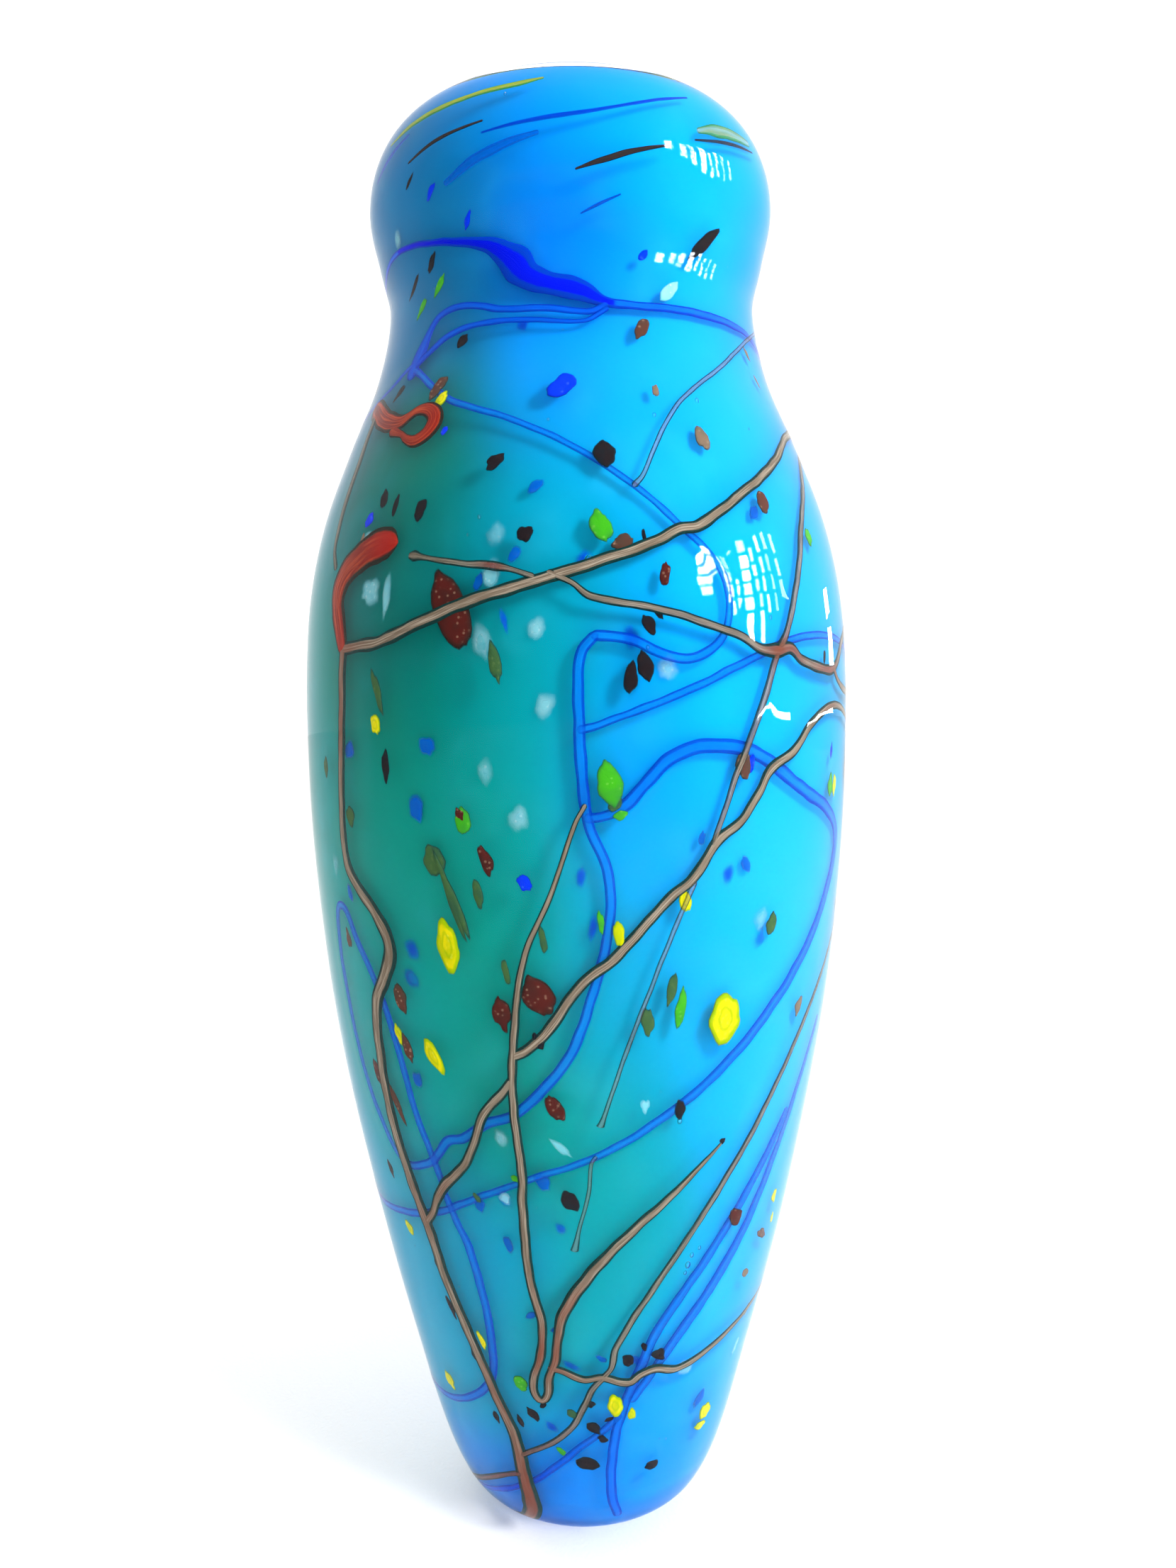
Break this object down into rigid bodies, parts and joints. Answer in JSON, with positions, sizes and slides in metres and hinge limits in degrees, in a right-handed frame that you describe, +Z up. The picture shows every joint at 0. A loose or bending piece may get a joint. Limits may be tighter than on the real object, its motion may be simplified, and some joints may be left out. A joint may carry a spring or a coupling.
{
  "type": "vase",
  "caption": "Tall blown glass vase with a narrow foot, high belly, short neck and closed-in bulbous head, cased in clear glass over trailed threads and chips.",
  "frame": {"origin": "middle of the flat foot, on the surface the vase stands on", "axes": "+Z up along the vase's turning axis, -Y towards the side with the brown trunk thread on its left, +X to the right of that side"},
  "size_m": [0.1477, 0.1489, 0.382],
  "materials": {
    "bubble_glass": "glossy azure glass, turning teal on one side",
    "clear_glass": "fire-polished clear casing",
    "blue_glass": "glossy cobalt thread, paler in the middle",
    "brown_glass": "glossy brown thread with a pale core and dark edges",
    "red_glass": "glossy red thread",
    "maroon_glass": "glossy dark maroon chip with pale specks",
    "black_glass": "glossy black chip",
    "yellow_glass": "glossy opaque yellow chip",
    "green_glass": "glossy lime green chip",
    "cobalt_glass": "glossy cobalt chip",
    "white_glass": "glossy milky white chip"
  },
  "bodies": {
    "root": {"back_blue_loop_thread": "blue_glass", "back_blue_low_thread": "blue_glass", "back_blue_neck_thread": "blue_glass", "back_falling_thread": "brown_glass", "back_right_thread": "brown_glass", "back_rising_thread": "brown_glass", "back_trunk_thread": "brown_glass", "black_box_chip": "black_glass", "black_cup_chip": "black_glass", "black_foot_chip": "black_glass", "black_head_streak": "black_glass", "blue_arch_thread": "blue_glass", "blue_bubble": "bubble_glass", "blue_drop_thread": "blue_glass", "bone_chip": "maroon_glass", "box_diagonal_thread": "blue_glass", "bulb_twig_thread": "brown_glass", "clear_casing": "clear_glass", "cobalt_shoulder_chip": "cobalt_glass", "foot_blue_thread": "blue_glass", "foot_left_thread": "brown_glass", "foot_twig_thread": "brown_glass", "hairpin_thread": "brown_glass", "inner_fan_thread": "blue_glass", "left_blue_drop_thread": "blue_glass", "left_blue_loop_thread": "blue_glass", "left_edge_thread": "brown_glass", "left_trunk_thread": "brown_glass", "lime_long_chip": "green_glass", "long_diagonal_thread": "brown_glass", "low_cross_thread": "brown_glass", "lower_diagonal_thread": "brown_glass", "maroon_neck_chip": "maroon_glass", "neck_blue_thread": "blue_glass", "neck_left_thread": "blue_glass", "neck_loop_thread": "blue_glass", "neck_twin_thread": "blue_glass", "outer_fan_thread": "blue_glass", "red_club_thread": "red_glass", "red_lasso_thread": "red_glass", "right_descending_thread": "brown_glass", "right_eye_thread": "brown_glass", "right_junction_thread": "brown_glass", "right_rising_thread": "brown_glass", "right_upper_thread": "brown_glass", "second_diagonal_thread": "brown_glass", "short_bulb_thread": "brown_glass", "shoulder_blue_thread": "blue_glass", "speckled_chip": "maroon_glass", "thin_arch_thread": "brown_glass", "thin_descending_thread": "brown_glass", "white_neck_chip": "white_glass", "yellow_disc_chip": "yellow_glass", "yellow_foot_chip": "yellow_glass", "yellow_head_streak": "yellow_glass", "yellow_left_chip": "yellow_glass", "yellow_slant_chip": "yellow_glass"}
  },
  "joints": []
}
